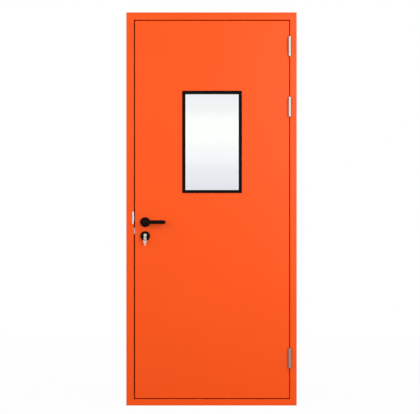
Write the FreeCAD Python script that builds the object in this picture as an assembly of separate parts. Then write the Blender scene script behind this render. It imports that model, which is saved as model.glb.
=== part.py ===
"""Steel utility door with a vision window, hung in a four-sided steel frame.

Millimetres, +Z up, +X to the right seen from the front, the front faces -Y.
The origin is on the sill's underside, at mid width and mid depth.
The door is closed, latched and bolted, as built here.
"""
import FreeCAD
import Part
import math
import os

os.makedirs("parts", exist_ok=True)
V = FreeCAD.Vector

# Overall frame
FRAME_W = 910.0
FRAME_H = 2100.0
FRAME_D = 100.0
FACE = 40.0
SILL_FACE = 34.0
HINGE_FACE = 36.0
STOP = 20.0
SHEET = 2.0
FRAME_BEND = 3.0

# Leaf
LEAF_T = 50.0
GAP = 5.0
LOCK_GAP = 6.0
HINGE_GAP = 4.0
SEAL_ROOM = 6.0
SKIN = 1.5
LEAF_BEND = 2.5
BEVEL = 2.6
BACK_LIP = 14.0

# Rubber seal, its foot pressed into a groove in the stop
GROOVE_IN = 6.0
GROOVE_W = 7.0
GROOVE_DEEP = 5.0
SEAL_LIP = 1.5
SEAL_OFF = 0.2
SEAL_FIT = 0.1
SEAL_BEVEL = 2.5
FOOT_SHORT = 0.5

# Window
WINDOW_W = 318.0
WINDOW_H = 546.0
WINDOW_X = 3.0
WINDOW_DROP = 692.0
BAND = 14.0
FLANGE = 4.0
PANE = 6.0
PANE_IN = 12.0
PANE_EDGE = 1.0
PANE_CORNER = 3.0
CORNER = 5.0
SLEEVE_IN = 6.0
SLEEVE_CORNER = 3.0
SIGHT_CORNER = 3.0
FLANGE_BEVEL = 1.5

# Handle and cylinder
BACKSET = 55.0
HANDLE_Z = 980.0
CYLINDER_DROP = 70.0
ROSE_DROP = 74.5
LEVER_ROSE_R = 26.0
CYLINDER_ROSE_R = 25.5
ROSE_T = 9.0
ROSE_BEVEL = 1.5
NECK_R = 9.0
COLLAR = 2.0
BAR_R = 10.0
BAR_OUT = 55.0
BAR_BEND = 13.0
LEVER_L = 110.0
RETURN_OUT = 22.0
RETURN_BEVEL = 2.5
SPINDLE = 8.0
SPINDLE_OUT = 30.0
SOCKET_ROOM = 1.0
RUN_CLEAR = 0.05

# Profile cylinder and keys
PLUG_R = 6.5
HEAD_R = 8.5
PROFILE_W = 10.0
PROFILE_DROP = 19.5
PROFILE_CLEAR = 0.3
CYLINDER_OUT = 0.5
PLUG_DEEP = 28.0
PLUG_END = 0.5
KEYWAY_END = 2.5
KEY_END = 1.0
KEY_CLEAR = 0.1
KEY_T = 2.4
KEY_BLADE = 9.0
BOW_R = 12.0
BOW_OUT = 27.0
KEY_HOLE_R = 3.5
HOLE_OUT = 2.0
HOLE_LOW = 5.5
RING_R = 10.0
RING_W = 1.6
RING_SLACK = 1.25
RING_TURN = 45.0
SPARE_R = 9.0
SPARE_RIM = 2.4
SPARE_BLADE = 7.0
TOOTH = 3.0
TOOTH_COUNT = 3
SPARE_TIP = 56.0

# Lock
CASE_T = 18.0
CASE_DEEP = 86.0
CASE_Z = (870.0, 1035.0)
CASE_WALL = 1.5
FOREND_W = 20.0
FOREND_T = 3.0
FOREND_Z = (845.0, 1080.0)
FOREND_IN = 1.0
BOLT_T = 12.0
LATCH_RISE = 23.0
LATCH_H = 32.0
LATCH_THROW = 12.0
LATCH_NOSE = 4.0
LATCH_LAND = 1.0
LATCH_IN = 14.0
LATCH_TAIL_R = 4.0
LATCH_TAIL = 20.0
DEADBOLT_DROP = 47.0
DEADBOLT_H = 31.0
DEADBOLT_THROW = 20.0
DEADBOLT_IN = 10.0
DEADBOLT_ROUND = 1.0
TAIL_T = 8.0
TAIL_H = 12.0
TAIL_RISE = 7.0
TAIL_LENGTH = 36.0
BOLT_CLEAR = 0.5
SPINDLE_HOLE_R = 11.0

# Strike
STRIKE_W = 26.0
STRIKE_Z = (885.0, 1055.0)
STRIKE_CLEAR = 2.0
LIP_H = 65.0
LIP_W = 8.0
LIP_ROUND = 1.8
BOX_WALL = 1.5
BOX_ROOM = 0.5
BOX_DEEP = 22.0

# Hinges
TOP_HINGE_DROP = 183.0
MIDDLE_HINGE_DROP = 322.0
BOTTOM_HINGE_RISE = 254.0
BARREL_R = 7.5
AXIS_OUT = 9.0
PIN_R = 3.5
KNUCKLE = 30.0
MID_KNUCKLE = 40.0
KNUCKLE_GAP = 1.0
PIN_CAP = 3.0
CAP_BEVEL = 1.2
PLATE_T = 2.5
PLATE_DEEP = 34.0

# Wall fixings
ANCHOR_R = 5.5
ANCHOR_Y = 28.0
ANCHOR_END = 250.0
JAMB_ANCHOR_COUNT = 4
RAIL_ANCHOR_END = 205.0

# Places that follow from the sizes above
HALF_W = FRAME_W / 2
FRONT = -FRAME_D / 2
BACK = FRAME_D / 2
REBATE_X = HALF_W - FACE
LEAF_X = REBATE_X - LOCK_GAP
LEAF_HINGE_X = HALF_W - HINGE_FACE - HINGE_GAP
LEAF_BACK = FRONT + LEAF_T
STOP_Y = LEAF_BACK + SEAL_ROOM
LEAF_LOW = SILL_FACE + GAP
LEAF_HIGH = FRAME_H - FACE - GAP
SPINDLE_X = -LEAF_X + BACKSET
PLUG_Z = HANDLE_Z - CYLINDER_DROP
ROSE_Z = HANDLE_Z - ROSE_DROP
MID_Y = FRONT + LEAF_T / 2
HINGE_X = LEAF_HINGE_X + HINGE_GAP / 2
HINGE_Y = FRONT - AXIS_OUT
LATCH_Z = HANDLE_Z + LATCH_RISE
DEADBOLT_Z = HANDLE_Z - DEADBOLT_DROP
FOREND_X = -LEAF_X + FOREND_IN
WINDOW_Z = FRAME_H - WINDOW_DROP
HINGE_Z = {
    "top": FRAME_H - TOP_HINGE_DROP,
    "middle": FRAME_H - TOP_HINGE_DROP - MIDDLE_HINGE_DROP,
    "bottom": BOTTOM_HINGE_RISE,
}
GROOVE = FACE + GROOVE_IN
SILL_SHARE = SILL_FACE / FACE
HINGE_SHARE = HINGE_FACE / FACE
RING_HANG = KEY_HOLE_R - RING_W / 2 - RING_SLACK

# How near counts as touching, and how far a cutter runs past what it cuts
TOUCH = 1e-6
PAST = 1.0
MITRE_PAST = 10.0

nodes = {}


def box(x0, x1, y0, y1, z0, z1):
    return Part.makeBox(x1 - x0, y1 - y0, z1 - z0, V(x0, y0, z0))


def rod(radius, start, end):
    run = end.sub(start)
    return Part.makeCylinder(radius, run.Length, start, run)


def joined(*solids):
    whole = solids[0]
    for solid in solids[1:]:
        whole = whole.fuse(solid)
    return whole.removeSplitter()


def without(solid, *tools):
    for tool in tools:
        solid = solid.cut(tool)
    return solid


def loop(points, radii):
    """A closed wire through the points, each corner rounded to its own radius."""
    count = len(points)
    entries = []
    for i in range(count):
        here = points[i]
        back = points[i - 1].sub(here).normalize()
        on = points[(i + 1) % count].sub(here).normalize()
        radius = radii[i]
        if radius == 0:
            entries.append((here, None, here))
            continue
        half = back.getAngle(on) / 2
        middle = back.add(on).normalize()
        reach = radius / math.tan(half)
        centre = here.add(middle * (radius / math.sin(half)))
        arc_mid = centre.sub(middle * radius)
        entries.append((here.add(back * reach), arc_mid, here.add(on * reach)))
    edges = []
    for i in range(count):
        start, arc_mid, end = entries[i]
        if arc_mid is not None:
            edges.append(Part.Arc(start, arc_mid, end).toShape())
        following = entries[(i + 1) % count][0]
        if end.distanceToPoint(following) > TOUCH:
            edges.append(Part.makeLine(end, following))
    return Part.Wire(edges)


def panel(x0, x1, z0, z1, y0, y1, radius):
    """An upright slab with rounded corners, between two depths."""
    points = [V(x0, y0, z0), V(x1, y0, z0), V(x1, y0, z1), V(x0, y0, z1)]
    return Part.Face(loop(points, [radius] * 4)).extrude(V(0, y1 - y0, 0))


def soften(solid, radius, chosen):
    """Round the edges that the test picks."""
    edges = [edge for edge in solid.Edges if chosen(edge)]
    return solid.makeFillet(radius, edges)


def bevelled(solid, size, chosen):
    """Cut a flat bevel on the edges that the test picks."""
    edges = [edge for edge in solid.Edges if chosen(edge)]
    return solid.makeChamfer(size, edges)


def all_at_x(place):
    return lambda edge: all(abs(v.X - place) < TOUCH for v in edge.Vertexes)


def all_at_y(depth):
    return lambda edge: all(abs(v.Y - depth) < TOUCH for v in edge.Vertexes)


# Frame members: one folded hollow section, mitred and welded at the corners.
# The sill and the hinge jamb are narrower by a share each, so their mitres still meet.

def member(place, run, mitre, share):
    """Extrude the section along one side of the frame and cut its mitred ends."""
    t = SHEET
    face = FACE * share
    deep = (FACE + STOP) * share
    groove = GROOVE * share
    groove_end = (GROOVE + GROOVE_W) * share
    groove_y = STOP_Y + GROOVE_DEEP
    outer = [(0, FRONT), (face, FRONT), (face, STOP_Y), (groove, STOP_Y), (groove, groove_y),
             (groove_end, groove_y), (groove_end, STOP_Y), (deep, STOP_Y), (deep, BACK), (0, BACK)]
    inner = [(t, FRONT + t), (face - t, FRONT + t), (face - t, STOP_Y + t), (groove - t, STOP_Y + t),
             (groove - t, groove_y + t), (groove_end + t, groove_y + t), (groove_end + t, STOP_Y + t),
             (deep - t, STOP_Y + t), (deep - t, BACK - t), (t, BACK - t)]
    big = FRAME_BEND
    small = FRAME_BEND - SHEET
    outer_radii = [big, big, small, small, 0, 0, small, big, big, big]
    skin = Part.Face(loop([place(u, y) for u, y in outer], outer_radii)).extrude(run)
    hollow = Part.Face(Part.makePolygon([place(u, y) for u, y in inner + inner[:1]])).extrude(run)
    ends = Part.makePolygon([V(x, FRONT - PAST, z) for x, z in mitre + mitre[:1]])
    keep = Part.Face(ends).extrude(V(0, FRAME_D + 2 * PAST, 0))
    return skin.cut(hollow).common(keep)


CUT = FACE + STOP + MITRE_PAST
SILL_CUT = CUT * SILL_SHARE
HINGE_CUT = HALF_W - CUT * HINGE_SHARE
lock_jamb = member(
    lambda u, y: V(-HALF_W + u, y, 0), V(0, 0, FRAME_H),
    [(-HALF_W, 0), (-HALF_W, FRAME_H), (-HALF_W + CUT, FRAME_H - CUT), (-HALF_W + CUT, SILL_CUT)], 1.0)
hinge_jamb = member(
    lambda u, y: V(HALF_W - u, y, 0), V(0, 0, FRAME_H),
    [(HALF_W, 0), (HALF_W, FRAME_H), (HINGE_CUT, FRAME_H - CUT), (HINGE_CUT, SILL_CUT)], HINGE_SHARE)
head = member(
    lambda u, y: V(-HALF_W, y, FRAME_H - u), V(FRAME_W, 0, 0),
    [(-HALF_W, FRAME_H), (HALF_W, FRAME_H), (HINGE_CUT, FRAME_H - CUT), (-HALF_W + CUT, FRAME_H - CUT)], 1.0)
sill = member(
    lambda u, y: V(-HALF_W, y, u), V(FRAME_W, 0, 0),
    [(-HALF_W, 0), (HALF_W, 0), (HINGE_CUT, SILL_CUT), (-HALF_W + CUT, SILL_CUT)], SILL_SHARE)

anchor_step = (FRAME_H - 2 * ANCHOR_END) / (JAMB_ANCHOR_COUNT - 1)
for i in range(JAMB_ANCHOR_COUNT):
    z = ANCHOR_END + i * anchor_step
    drill = rod(ANCHOR_R, V(-HALF_W - PAST, ANCHOR_Y, z), V(HALF_W + PAST, ANCHOR_Y, z))
    lock_jamb = lock_jamb.cut(drill)
    hinge_jamb = hinge_jamb.cut(drill)
for x in (-HALF_W + RAIL_ANCHOR_END, HALF_W - RAIL_ANCHOR_END):
    drill = rod(ANCHOR_R, V(x, ANCHOR_Y, -PAST), V(x, ANCHOR_Y, FRAME_H + PAST))
    head = head.cut(drill)
    sill = sill.cut(drill)


def seal_ring(inset, width, y0, y1):
    """A closed rectangular ring round the doorway, its outer side inset from the frame's outside."""
    def filled(grow, low, high):
        side = inset + grow
        return panel(-HALF_W + side, HALF_W - side * HINGE_SHARE, side * SILL_SHARE, FRAME_H - side,
                     low, high, 0)

    return filled(0, y0, y1).cut(filled(width, y0 - PAST, y1 + PAST))


# Rubber seal: a bulb on the stop and a foot in the groove
bulb_y = LEAF_BACK + SEAL_OFF
bulb = seal_ring(GROOVE - SEAL_LIP, GROOVE_W + 2 * SEAL_LIP, bulb_y, STOP_Y)
bulb = bevelled(bulb, SEAL_BEVEL, all_at_y(bulb_y))
foot = seal_ring(GROOVE + SEAL_FIT, GROOVE_W - 2 * SEAL_FIT, STOP_Y, STOP_Y + GROOVE_DEEP - FOOT_SHORT)
seal = joined(bulb, foot)


# Leaf: a front tray, a back tray nested in it and a core between them

def leaf_block(inset, y0, y1, radius):
    """The leaf's outline shrunk by an inset, between two depths, its front edges rounded."""
    slope = BEVEL / LEAF_T
    left0 = -LEAF_X + slope * (y0 - FRONT) + inset
    left1 = -LEAF_X + slope * (y1 - FRONT) + inset
    right = LEAF_HINGE_X - inset
    low = LEAF_LOW + inset
    points = [V(left0, y0, low), V(right, y0, low), V(right, y1, low), V(left1, y1, low)]
    face = Part.Face(Part.makePolygon(points + points[:1]))
    block = face.extrude(V(0, 0, LEAF_HIGH - LEAF_LOW - 2 * inset))
    if radius == 0:
        return block
    return soften(block, radius, all_at_y(y0))


cavity = leaf_block(SKIN, FRONT + SKIN, LEAF_BACK - SKIN, LEAF_BEND - SKIN)
front_skin = leaf_block(0, FRONT, LEAF_BACK - SKIN, LEAF_BEND).cut(cavity)
back_lip = leaf_block(SKIN, LEAF_BACK - BACK_LIP, LEAF_BACK - SKIN, 0)
back_lip = back_lip.cut(leaf_block(2 * SKIN, LEAF_BACK - BACK_LIP - PAST, LEAF_BACK, 0))
back_skin = joined(leaf_block(0, LEAF_BACK - SKIN, LEAF_BACK, 0), back_lip)
core = cavity.cut(back_lip)


# Window: liner in the cut-out, two panes on a spacer, a black frame on each face

def window_slab(inset, y0, y1, radius):
    half_w = WINDOW_W / 2 - inset
    half_h = WINDOW_H / 2 - inset
    return panel(WINDOW_X - half_w, WINDOW_X + half_w, WINDOW_Z - half_h, WINDOW_Z + half_h,
                 y0, y1, radius)


cut_out = window_slab(FLANGE, FRONT - PAST, LEAF_BACK + PAST, CORNER)
front_skin = front_skin.cut(cut_out)
back_skin = back_skin.cut(cut_out)
core = core.cut(cut_out)
liner = window_slab(FLANGE, FRONT, LEAF_BACK, CORNER)
liner = liner.cut(window_slab(FLANGE + SKIN, FRONT - PAST, LEAF_BACK + PAST, CORNER - SKIN))


def window_frame(face_y, outward, pane_y):
    """Flange on the leaf's face and a sleeve that runs in to the pane."""
    edge_y = face_y + outward * FLANGE
    low, high = sorted((edge_y, face_y))
    flange = bevelled(window_slab(0, low, high, CORNER), FLANGE_BEVEL, all_at_y(edge_y))
    low, high = sorted((face_y, pane_y))
    sleeve = window_slab(SLEEVE_IN, low, high, SLEEVE_CORNER)
    low, high = sorted((edge_y + outward * PAST, pane_y - outward * PAST))
    sight = window_slab(BAND, low, high, SIGHT_CORNER)
    return joined(flange, sleeve).cut(sight)


front_pane_y = FRONT + PANE_IN
back_pane_y = LEAF_BACK - PANE_IN
window_front = window_frame(FRONT, -1, front_pane_y)
window_back = window_frame(LEAF_BACK, 1, back_pane_y)
pane_edge = SLEEVE_IN + PANE_EDGE
pane_front = window_slab(pane_edge, front_pane_y, front_pane_y + PANE, PANE_CORNER)
pane_back = window_slab(pane_edge, back_pane_y - PANE, back_pane_y, PANE_CORNER)
spacer = window_slab(pane_edge, front_pane_y + PANE, back_pane_y - PANE, PANE_CORNER)
spacer = spacer.cut(window_slab(BAND, front_pane_y, back_pane_y, SIGHT_CORNER))


# Mortise lock in the leaf's edge

def profile(grow, y0, y1):
    """Profile-cylinder outline, a round head on a narrow body, between two depths."""
    head_part = rod(HEAD_R + grow, V(SPINDLE_X, y0, PLUG_Z), V(SPINDLE_X, y1, PLUG_Z))
    foot_z = PLUG_Z - PROFILE_DROP
    half = PROFILE_W / 2 + grow
    foot = rod(half, V(SPINDLE_X, y0, foot_z), V(SPINDLE_X, y1, foot_z))
    body = box(SPINDLE_X - half, SPINDLE_X + half, y0, y1, foot_z, PLUG_Z)
    return joined(head_part, body, foot)


def bolt_box(z, height, x0, x1, clear):
    half_t = BOLT_T / 2 + clear
    half_h = height / 2 + clear
    return box(x0, x1, MID_Y - half_t, MID_Y + half_t, z - half_h, z + half_h)


case_x = FOREND_X + FOREND_T
case_block = box(case_x, case_x + CASE_DEEP, MID_Y - CASE_T / 2, MID_Y + CASE_T / 2, *CASE_Z)
case_room = box(case_x + CASE_WALL, case_x + CASE_DEEP - CASE_WALL,
                MID_Y - CASE_T / 2 + CASE_WALL, MID_Y + CASE_T / 2 - CASE_WALL,
                CASE_Z[0] + CASE_WALL, CASE_Z[1] - CASE_WALL)
forend = box(FOREND_X, FOREND_X + FOREND_T, MID_Y - FOREND_W / 2, MID_Y + FOREND_W / 2, *FOREND_Z)
way_front = FRONT - PAST
way_back = LEAF_BACK + PAST
spindle_way = rod(SPINDLE_HOLE_R, V(SPINDLE_X, way_front, HANDLE_Z), V(SPINDLE_X, way_back, HANDLE_Z))
cylinder_way = profile(PROFILE_CLEAR, way_front, way_back)
latch_way = bolt_box(LATCH_Z, LATCH_H, -HALF_W, case_x + 2 * CASE_WALL, BOLT_CLEAR)
deadbolt_way = bolt_box(DEADBOLT_Z, DEADBOLT_H, -HALF_W, case_x + 2 * CASE_WALL, BOLT_CLEAR)
lock_case = without(case_block, case_room, spindle_way, cylinder_way, latch_way, deadbolt_way)
core = without(core, case_block, forend, spindle_way, cylinder_way)
recess = box(-REBATE_X, case_x, MID_Y - FOREND_W / 2, MID_Y + FOREND_W / 2, *FOREND_Z)
front_skin = without(front_skin, recess, spindle_way, cylinder_way, case_block)
back_skin = without(back_skin, spindle_way, cylinder_way)
forend = without(forend, latch_way, deadbolt_way)

# Latch and deadbolt, both thrown
latch_tip = FOREND_X - LATCH_THROW
latch_end = case_x + LATCH_IN
latch_head = bolt_box(LATCH_Z, LATCH_H, latch_tip, latch_end, 0)
ramp_y = MID_Y + BOLT_T / 2
ramp = Part.Face(Part.makePolygon([
    V(latch_tip, ramp_y, 0), V(latch_tip, ramp_y - BOLT_T + LATCH_NOSE, 0),
    V(latch_tip + LATCH_THROW - LATCH_LAND, ramp_y, 0), V(latch_tip, ramp_y, 0)])).extrude(V(0, 0, FRAME_H))
latch_tail = rod(LATCH_TAIL_R, V(latch_end, MID_Y, LATCH_Z), V(latch_end + LATCH_TAIL, MID_Y, LATCH_Z))
latch = joined(latch_head.cut(ramp), latch_tail)
deadbolt_tip = FOREND_X - DEADBOLT_THROW
deadbolt_end = case_x + DEADBOLT_IN
deadbolt = bolt_box(DEADBOLT_Z, DEADBOLT_H, deadbolt_tip, deadbolt_end, 0)
deadbolt = soften(deadbolt, DEADBOLT_ROUND, all_at_x(deadbolt_tip))
tail_z = DEADBOLT_Z + TAIL_RISE
deadbolt_tail = box(deadbolt_end, deadbolt_end + TAIL_LENGTH, MID_Y - TAIL_T / 2, MID_Y + TAIL_T / 2,
                    tail_z - TAIL_H / 2, tail_z + TAIL_H / 2)
deadbolt = joined(deadbolt, deadbolt_tail)

# Strike plate flush in the jamb's rebate wall, with a lip round the jamb's front edge
strike = box(-REBATE_X - SHEET, -REBATE_X, MID_Y - STRIKE_W / 2, MID_Y + STRIKE_W / 2, *STRIKE_Z)
lip_low = LATCH_Z - LIP_H / 2
lip_high = LATCH_Z + LIP_H / 2
lip_bridge = box(-REBATE_X - SHEET, -REBATE_X, FRONT - SHEET, MID_Y, lip_low, lip_high)
lip_face = box(-REBATE_X - LIP_W, -REBATE_X, FRONT - SHEET, FRONT, lip_low, lip_high)
strike_blank = joined(strike, lip_bridge, lip_face)
strike_blank = soften(strike_blank, LIP_ROUND, lambda edge: (
    all_at_x(-REBATE_X)(edge) and all_at_y(FRONT - SHEET)(edge)))
notch = joined(strike, box(-REBATE_X - SHEET, -REBATE_X + PAST, FRONT - PAST, MID_Y, lip_low, lip_high))
lock_jamb = lock_jamb.cut(notch)
strike_way = bolt_box(LATCH_Z, LATCH_H, -HALF_W, 0, STRIKE_CLEAR)
strike_bolt_way = bolt_box(DEADBOLT_Z, DEADBOLT_H, -HALF_W, 0, STRIKE_CLEAR)
strike_plate = without(strike_blank, strike_way, strike_bolt_way)
box_low = DEADBOLT_Z - DEADBOLT_H / 2 - STRIKE_CLEAR - BOX_ROOM - BOX_WALL
box_high = LATCH_Z + LATCH_H / 2 + STRIKE_CLEAR + BOX_ROOM + BOX_WALL
box_back = -REBATE_X - SHEET - BOX_DEEP
half_box = BOLT_T / 2 + STRIKE_CLEAR + BOX_WALL
strike_box = box(box_back, -REBATE_X - SHEET, MID_Y - half_box, MID_Y + half_box, box_low, box_high)
half_room = half_box - BOX_WALL
strike_box = strike_box.cut(box(box_back + BOX_WALL, 0, MID_Y - half_room, MID_Y + half_room,
                                box_low + BOX_WALL, box_high - BOX_WALL))


# Levers, roses and spindle; the same set on both faces

def rose(radius, z, face_y, outward, hole):
    edge_y = face_y + outward * ROSE_T
    disc = rod(radius, V(SPINDLE_X, face_y, z), V(SPINDLE_X, edge_y, z))
    disc = bevelled(disc, ROSE_BEVEL, all_at_y(edge_y))
    return disc.cut(hole)


def lever(face_y, outward):
    """Round neck, a bar towards the hinges and an end that returns to the leaf."""
    def at(x, out):
        return V(SPINDLE_X + x, face_y + outward * out, HANDLE_Z)

    neck_end = BAR_OUT - BAR_BEND
    leg_x = LEVER_L - BAR_R
    k = BAR_BEND * (1 - math.sqrt(0.5))
    path = Part.Wire([
        Part.Arc(at(0, neck_end), at(k, BAR_OUT - k), at(BAR_BEND, BAR_OUT)).toShape(),
        Part.makeLine(at(BAR_BEND, BAR_OUT), at(leg_x - BAR_BEND, BAR_OUT)),
        Part.Arc(at(leg_x - BAR_BEND, BAR_OUT), at(leg_x - k, BAR_OUT - k), at(leg_x, neck_end)).toShape(),
        Part.makeLine(at(leg_x, neck_end), at(leg_x, RETURN_OUT))])
    section = Part.Wire(Part.makeCircle(BAR_R, at(0, neck_end), V(0, outward, 0)))
    bar = path.makePipeShell([section], True, True)
    end_y = face_y + outward * RETURN_OUT
    bar = bevelled(bar, RETURN_BEVEL, all_at_y(end_y))
    neck = rod(NECK_R, at(0, COLLAR), at(0, neck_end - COLLAR))
    collar = Part.makeCone(NECK_R, BAR_R, COLLAR, at(0, neck_end - COLLAR), V(0, outward, 0))
    socket_low, socket_high = sorted((face_y, face_y + outward * (SPINDLE_OUT + SOCKET_ROOM)))
    half = SPINDLE / 2 + RUN_CLEAR
    socket = box(SPINDLE_X - half, SPINDLE_X + half, socket_low, socket_high,
                 HANDLE_Z - half, HANDLE_Z + half)
    return joined(bar, collar, neck).cut(socket)


faces = {"front": (FRONT, -1), "back": (LEAF_BACK, 1)}
for side, (face_y, outward) in faces.items():
    reach = face_y + outward * BAR_OUT
    low, high = sorted((face_y - outward * PAST, reach))
    neck_hole = rod(NECK_R + RUN_CLEAR, V(SPINDLE_X, low, HANDLE_Z), V(SPINDLE_X, high, HANDLE_Z))
    nodes["lever_rose_" + side] = rose(LEVER_ROSE_R, HANDLE_Z, face_y, outward, neck_hole)
    nodes["cylinder_rose_" + side] = rose(CYLINDER_ROSE_R, ROSE_Z, face_y, outward,
                                          profile(PROFILE_CLEAR, low, high))
    nodes["lever_" + side] = lever(face_y, outward)
half = SPINDLE / 2
nodes["spindle"] = box(SPINDLE_X - half, SPINDLE_X + half, FRONT - SPINDLE_OUT, LEAF_BACK + SPINDLE_OUT,
                       HANDLE_Z - half, HANDLE_Z + half)

# Profile cylinder, its plug and the keys
cylinder_front = FRONT - ROSE_T - CYLINDER_OUT
cylinder_back = LEAF_BACK + ROSE_T + CYLINDER_OUT
plug_end = cylinder_front + PLUG_DEEP
plug_start = V(SPINDLE_X, cylinder_front, PLUG_Z)
cylinder = profile(0, cylinder_front, cylinder_back)
cylinder = cylinder.cut(rod(PLUG_R + RUN_CLEAR, plug_start, V(SPINDLE_X, plug_end, PLUG_Z)))
plug_back = plug_end - PLUG_END
plug = rod(PLUG_R, plug_start, V(SPINDLE_X, plug_back, PLUG_Z))
half = KEY_T / 2
blade_half = KEY_BLADE / 2
keyway_end = plug_back - KEYWAY_END
keyway_half = half + KEY_CLEAR
keyway_high = blade_half + KEY_CLEAR
plug = plug.cut(box(SPINDLE_X - keyway_half, SPINDLE_X + keyway_half, cylinder_front - PAST, keyway_end,
                    PLUG_Z - keyway_high, PLUG_Z + keyway_high))
bow_y = FRONT - BOW_OUT
blade = box(SPINDLE_X - half, SPINDLE_X + half, bow_y, keyway_end - KEY_END,
            PLUG_Z - blade_half, PLUG_Z + blade_half)
bow = rod(BOW_R, V(SPINDLE_X - half, bow_y, PLUG_Z), V(SPINDLE_X + half, bow_y, PLUG_Z))
hole_y = bow_y - HOLE_OUT
hole_z = PLUG_Z - HOLE_LOW
key_hole = rod(KEY_HOLE_R, V(SPINDLE_X - KEY_T, hole_y, hole_z), V(SPINDLE_X + KEY_T, hole_y, hole_z))
key = joined(bow, blade).cut(key_hole)

# Flat-wire ring through both bows
ring_z = hole_z - RING_HANG - RING_R
ring_start = V(SPINDLE_X, hole_y - RING_W / 2, ring_z)
ring_end = V(SPINDLE_X, hole_y + RING_W / 2, ring_z)
ring = rod(RING_R + RING_W / 2, ring_start, ring_end).cut(rod(RING_R - RING_W / 2, ring_start, ring_end))
ring.rotate(V(SPINDLE_X, hole_y, ring_z), V(0, 0, 1), RING_TURN)

# Spare key: a round bow and a blade with teeth down one edge
spare_hole_z = ring_z - RING_R - RING_HANG
spare_z = spare_hole_z + KEY_HOLE_R + SPARE_RIM - SPARE_R
spare_y = hole_y + half
spare_bow = rod(SPARE_R, V(SPINDLE_X, hole_y - half, spare_z), V(SPINDLE_X, spare_y, spare_z))
tip_z = PLUG_Z - SPARE_TIP
blade_left = SPINDLE_X - SPARE_BLADE / 2
blade_right = SPINDLE_X + SPARE_BLADE / 2
tooth_z = tip_z + SPARE_BLADE / 2
tip = [V(blade_left, spare_y, spare_z), V(blade_right, spare_y, spare_z)]
for i in range(TOOTH_COUNT, 0, -1):
    tip.append(V(blade_right, spare_y, tooth_z + i * TOOTH))
    tip.append(V(blade_right - TOOTH / 2, spare_y, tooth_z + (i - 0.5) * TOOTH))
tip.append(V(blade_right, spare_y, tooth_z))
tip.append(V(SPINDLE_X, spare_y, tip_z))
tip.append(V(blade_left, spare_y, tooth_z))
spare_blade = Part.Face(Part.makePolygon(tip + tip[:1])).extrude(V(0, -KEY_T, 0))
spare_hole = rod(KEY_HOLE_R, V(SPINDLE_X, hole_y - KEY_T, spare_hole_z),
                 V(SPINDLE_X, hole_y + KEY_T, spare_hole_z))
spare_key = joined(spare_bow, spare_blade).cut(spare_hole)


# Hinges: two knuckles on the jamb, one on the leaf, a capped pin through all three

def hinge(z):
    """Jamb half, leaf half and pin of the hinge centred at a height."""
    half_mid = MID_KNUCKLE / 2
    low = (z - half_mid - RUN_CLEAR - KNUCKLE, z - half_mid - RUN_CLEAR)
    mid = (z - half_mid, z + half_mid)
    high = (z + half_mid + KNUCKLE_GAP, z + half_mid + KNUCKLE_GAP + KNUCKLE)

    foot_z = low[0] - PIN_CAP
    cap_z = high[1] + PIN_CAP

    def turned(radius, start, end):
        return rod(radius, V(HINGE_X, HINGE_Y, start), V(HINGE_X, HINGE_Y, end))

    def upright(side, y0, y1, span):
        """A strip of the hinge's sheet against the jamb, side 1, or the leaf, side -1."""
        x0, x1 = sorted((HINGE_X + side * HINGE_GAP / 2, HINGE_X + side * (HINGE_GAP / 2 + PLATE_T)))
        return box(x0, x1, y0, y1, *span)

    def half_hinge(side, spans):
        solids = [upright(side, FRONT + SHEET, FRONT + PLATE_DEEP, (low[0], high[1]))]
        for span in spans:
            solids.append(turned(BARREL_R, *span))
            solids.append(upright(side, HINGE_Y, FRONT + SHEET, span))
        return joined(*solids).cut(turned(PIN_R + RUN_CLEAR, foot_z, cap_z))

    pin = joined(turned(PIN_R, low[0], high[1]), turned(BARREL_R, foot_z, low[0]),
                 turned(BARREL_R, high[1], cap_z))
    pin = bevelled(pin, CAP_BEVEL, lambda edge: all(
        min(abs(v.Z - foot_z), abs(v.Z - cap_z)) < TOUCH for v in edge.Vertexes))
    return half_hinge(1, (low, high)), half_hinge(-1, (mid,)), pin


for place, z in HINGE_Z.items():
    jamb_half, leaf_half, pin = hinge(z)
    hinge_jamb = hinge_jamb.cut(jamb_half)
    front_skin = front_skin.cut(leaf_half)
    core = core.cut(leaf_half)
    nodes["hinge_" + place + "_jamb_half"] = jamb_half
    nodes["hinge_" + place + "_leaf_half"] = leaf_half
    nodes["hinge_" + place + "_pin"] = pin

nodes.update({
    "lock_jamb": lock_jamb,
    "hinge_jamb": hinge_jamb,
    "head": head,
    "sill": sill,
    "frame_seal": seal,
    "strike_plate": strike_plate,
    "strike_box": strike_box,
    "leaf_front_skin": front_skin,
    "leaf_back_skin": back_skin,
    "leaf_core": core,
    "window_liner": liner,
    "window_frame_front": window_front,
    "window_frame_back": window_back,
    "pane_front": pane_front,
    "pane_back": pane_back,
    "pane_spacer": spacer,
    "lock_case": lock_case,
    "lock_forend": forend,
    "latch_bolt": latch,
    "deadbolt": deadbolt,
    "cylinder_body": cylinder,
    "cylinder_plug": plug,
    "key": key,
    "key_ring": ring,
    "spare_key": spare_key,
})

for name, shape in nodes.items():
    if not shape.isValid():
        print("check", name)
    if len(shape.Solids) != 1:
        print("solids", name, len(shape.Solids))
    shape.exportStep("parts/" + name + ".step")
print(len(nodes), "nodes")
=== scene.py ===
# %% [markdown]
# # A steel utility door, dressed for its picture
# The door is a flush steel leaf in a folded steel frame, both in the same orange powder coat, with a tall
# window, a black lever, a keyed cylinder and three steel hinges. Its solids come ready made, at their
# real size and place. This lesson gives each of them the finish that the real piece has, and adds the
# small pieces that a maker screws, clips or presses on last: screws, caps, washers, glazing beads and a
# split ring for the keys.

# %% Load the door
import math

import bmesh
import bpy
from mathutils import Matrix, Vector


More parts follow.
